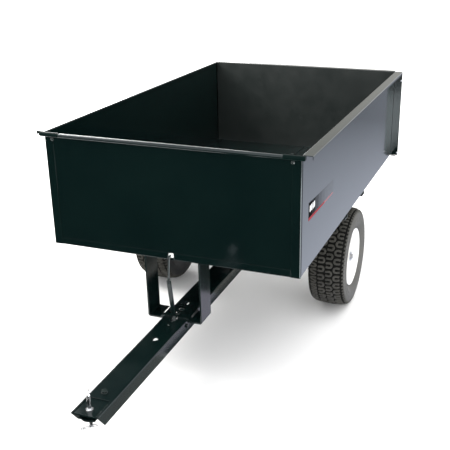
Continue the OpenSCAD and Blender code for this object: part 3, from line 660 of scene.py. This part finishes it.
N = 8
fades = []
for i in range(N):
    f = min(1.0, i / (N - 1))
    f = f * f * (3 - 2 * f)
    fades.append(decal_mat(f"decal_dark_{i}", tuple(0.002 + (a - 0.002) * f for a in (0.004, 0.009, 0.0085)),
                           1.02 + 0.46 * f, 0.22))
RED = decal_mat("decal_red", (0.20, 0.006, 0.010), 1.08, 0.3)
RED2 = decal_mat("decal_red_thin", (0.22, 0.05, 0.055), 1.3, 0.3)
MARK = decal_mat("decal_white", (0.80, 0.80, 0.80), 1.3, 0.3)
for s, side in ((-1, "left"), (1, "right")):
    M = Mesh()
    Y0, Y1 = 0.077, 0.368

    def top(y):
        return BED_Z + 0.217 + (0.202 - 0.217) * (y - Y0) / (Y1 - Y0)

    def bot(y):
        return BED_Z + 0.159 - 0.002 * (y - Y0) / (Y1 - Y0)

    def slab(y_a, y_b, z0a, z0b, z1a, z1b, x0, x1, mi):
        V = []
        for x in (x0, x1):
            V += [(s * x, yy(y_a), z0a), (s * x, yy(y_b), z0b), (s * x, yy(y_b), z1b), (s * x, yy(y_a), z1a)]
        M.add(V, [(0, 1, 2, 3), (4, 5, 6, 7), (0, 1, 5, 4), (1, 2, 6, 5), (2, 3, 7, 6), (3, 0, 4, 7)], mi)

    for i in range(N):
        a, b = Y0 + (Y1 - Y0) * i / N, Y0 + (Y1 - Y0) * (i + 1) / N
        ra = 0.0095 * (1 - 0.55 * i / N)
        rb = 0.0095 * (1 - 0.55 * (i + 1) / N)
        slab(a, b, bot(a) + ra, bot(b) + rb, top(a), top(b), HW, HW + 0.00035, i)
        slab(a, b, bot(a), bot(b), bot(a) + ra, bot(b) + rb, HW, HW + 0.00035, N if i < 5 else N + 1)
    # plain slanted bars as a generic mark
    zc_ = (top(0.11) + bot(0.11)) / 2 + 0.008
    for k in range(4):
        y_a = 0.088 + k * 0.0155
        slab(y_a, y_a + 0.009, zc_ - 0.010, zc_ - 0.010, zc_ + 0.010, zc_ + 0.010, HW + 0.0003, HW + 0.0006, N + 2)
    M.obj("side_decal_" + side, fades + [RED, RED2, MARK], "bed",
          ("side_decals",) if s < 0 else ("side_decals",), 20)

# ------------------------------------------------------------------ floor, reflectors and light
def stage_plane(name, pts, m):
    me = bpy.data.meshes.new(name)
    me.from_pydata(pts, [], [tuple(range(len(pts)))])
    me.materials.append(m)
    o = bpy.data.objects.new(name, me)
    bpy.context.scene.collection.objects.link(o)
    return o


fm, nt, n, l, b = mat_new("studio_floor")
tc = n.new("ShaderNodeTexCoord").outputs["Object"]
l.new(mix(nt, noise(nt, tc, 2), (0.93, 0.93, 0.93), (0.95, 0.95, 0.95)), b.inputs["Base Color"])
b.inputs["Roughness"].default_value = 0.9
b.inputs["Specular IOR Level"].default_value = 0.05
stage_plane("floor", [(-14, -14, 0), (14, -14, 0), (14, 14, 0), (-14, 14, 0)], fm)


def card(name, pts, color, strength, far=None):
    m = bpy.data.materials.new(name)
    m.use_nodes = True
    nt = m.node_tree
    nt.nodes.clear()
    out = nt.nodes.new("ShaderNodeOutputMaterial")
    e = nt.nodes.new("ShaderNodeEmission")
    e.inputs["Color"].default_value = (*color, 1)
    e.inputs["Strength"].default_value = strength
    if far:
        tc = nt.nodes.new("ShaderNodeTexCoord").outputs["Object"]
        sep = nt.nodes.new("ShaderNodeSeparateXYZ")
        nt.links.new(tc, sep.inputs[0])
        nt.links.new(maprange(nt, sep.outputs["Y"], strength, far[2], far[0], far[1]), e.inputs["Strength"])
    nt.links.new(e.outputs[0], out.inputs[0])
    o = stage_plane(name, pts, m)
    o.visible_camera = o.visible_diffuse = o.visible_shadow = o.visible_transmission = o.visible_volume_scatter = False
    return o


# a dark card on the floor in front, bright ones beside the cart, seen only in the gloss
card("card_front", [(-4.5, -4.4, 0.003), (0.78, -4.4, 0.003), (0.52, -0.93, 0.003), (-1.6, -0.93, 0.003)],
     (0.3, 0.5, 0.5), 0.02)
card("card_edge", [(0.86, -2.6, 0.003), (2.6, -1.9, 0.003), (2.6, -0.42, 0.003), (0.74, -0.42, 0.003), (0.70, -1.2, 0.003)],
     (1.0, 1.04, 1.03), 9.0)
card("card_mid", [(0.06, -0.92, 0.003), (0.50, -0.92, 0.003), (0.50, -0.38, 0.003), (0.06, -0.38, 0.003)],
     (1.0, 1.02, 1.0), 0.42)
card("card_leg", [(0.19, -0.37, 0.003), (0.45, -0.37, 0.003), (0.45, 0.14, 0.003), (0.19, 0.14, 0.003)],
     (0.94, 0.90, 1.08), 0.95)
card("card_under", [(-0.9, -0.36, 0.003), (0.185, -0.36, 0.003), (0.185, 1.1, 0.003), (-0.9, 1.1, 0.003)],
     (0.7, 0.9, 1.0), 0.05)
card("card_under_2", [(0.32, 0.145, 0.003), (0.45, 0.145, 0.003), (0.45, 1.1, 0.003), (0.32, 1.1, 0.003)],
     (0.7, 0.9, 1.0), 0.05)
card("card_under_3", [(0.19, 0.145, 0.003), (0.315, 0.145, 0.003), (0.315, 1.1, 0.003), (0.19, 1.1, 0.003)],
     (1.0, 0.97, 0.90), 0.45)
card("card_back", [(-1.35, 4.7, 0.9), (0.75, 4.7, 0.9), (0.75, 4.7, 2.9), (-1.35, 4.7, 2.9)], (1.0, 0.98, 0.92), 0.75)
card("card_left", [(-5.2, 4.3, 0.9), (-1.5, 4.3, 0.9), (-1.5, 4.3, 3.1), (-5.2, 4.3, 3.1)], (1.0, 1.0, 0.98), 7.0)
card("card_side", [(0.455, -0.35, 0.003), (2.6, -0.35, 0.003), (4.6, 6.5, 0.003), (0.455, 6.5, 0.003)],
     (0.86, 0.91, 1.06), 1.55, (-0.2, 3.4, 0.42))

w = bpy.data.worlds.new("world")
bpy.context.scene.world = w
w.use_nodes = True
w.node_tree.nodes["Background"].inputs["Color"].default_value = (1, 1, 1, 1)
w.node_tree.nodes["Background"].inputs["Strength"].default_value = 1.6


def area(name, loc, target, sx, sy, radiance, color=(1, 1, 1)):
    ld = bpy.data.lights.new(name, "AREA")
    ld.shape = "RECTANGLE"
    ld.size, ld.size_y = sx, sy
    ld.energy = radiance * math.pi * sx * sy
    ld.color = color
    o = bpy.data.objects.new(name, ld)
    bpy.context.scene.collection.objects.link(o)
    o.location = loc
    o.rotation_mode = "QUATERNION"
    o.rotation_quaternion = (Vector(target) - Vector(loc)).to_track_quat("-Z", "Y")
    o.visible_camera = False
    return o


area("top_soft", (1.0, 0.6, 3.8), (0.3, 0.3, 0), 3.0, 3.0, 1.5)
area("gate_soft", (-1.7, -0.2, 2.3), (0.25, 0.95, 0.6), 1.2, 1.2, 16.0, (1, 0.97, 0.93))
area("right_soft", (3.6, -1.2, 1.0), (0.45, 0.28, 0.2), 1.6, 1.4, 2.2)
area("back_soft", (-3.1, 4.0, 2.1), (-0.45, 0.1, 0.8), 2.6, 1.6, 11.0, (1, 0.99, 0.96))
area("front_soft", (1.6, -4.0, 2.6), (0, 0, 0.4), 2.0, 1.6, 0.5)
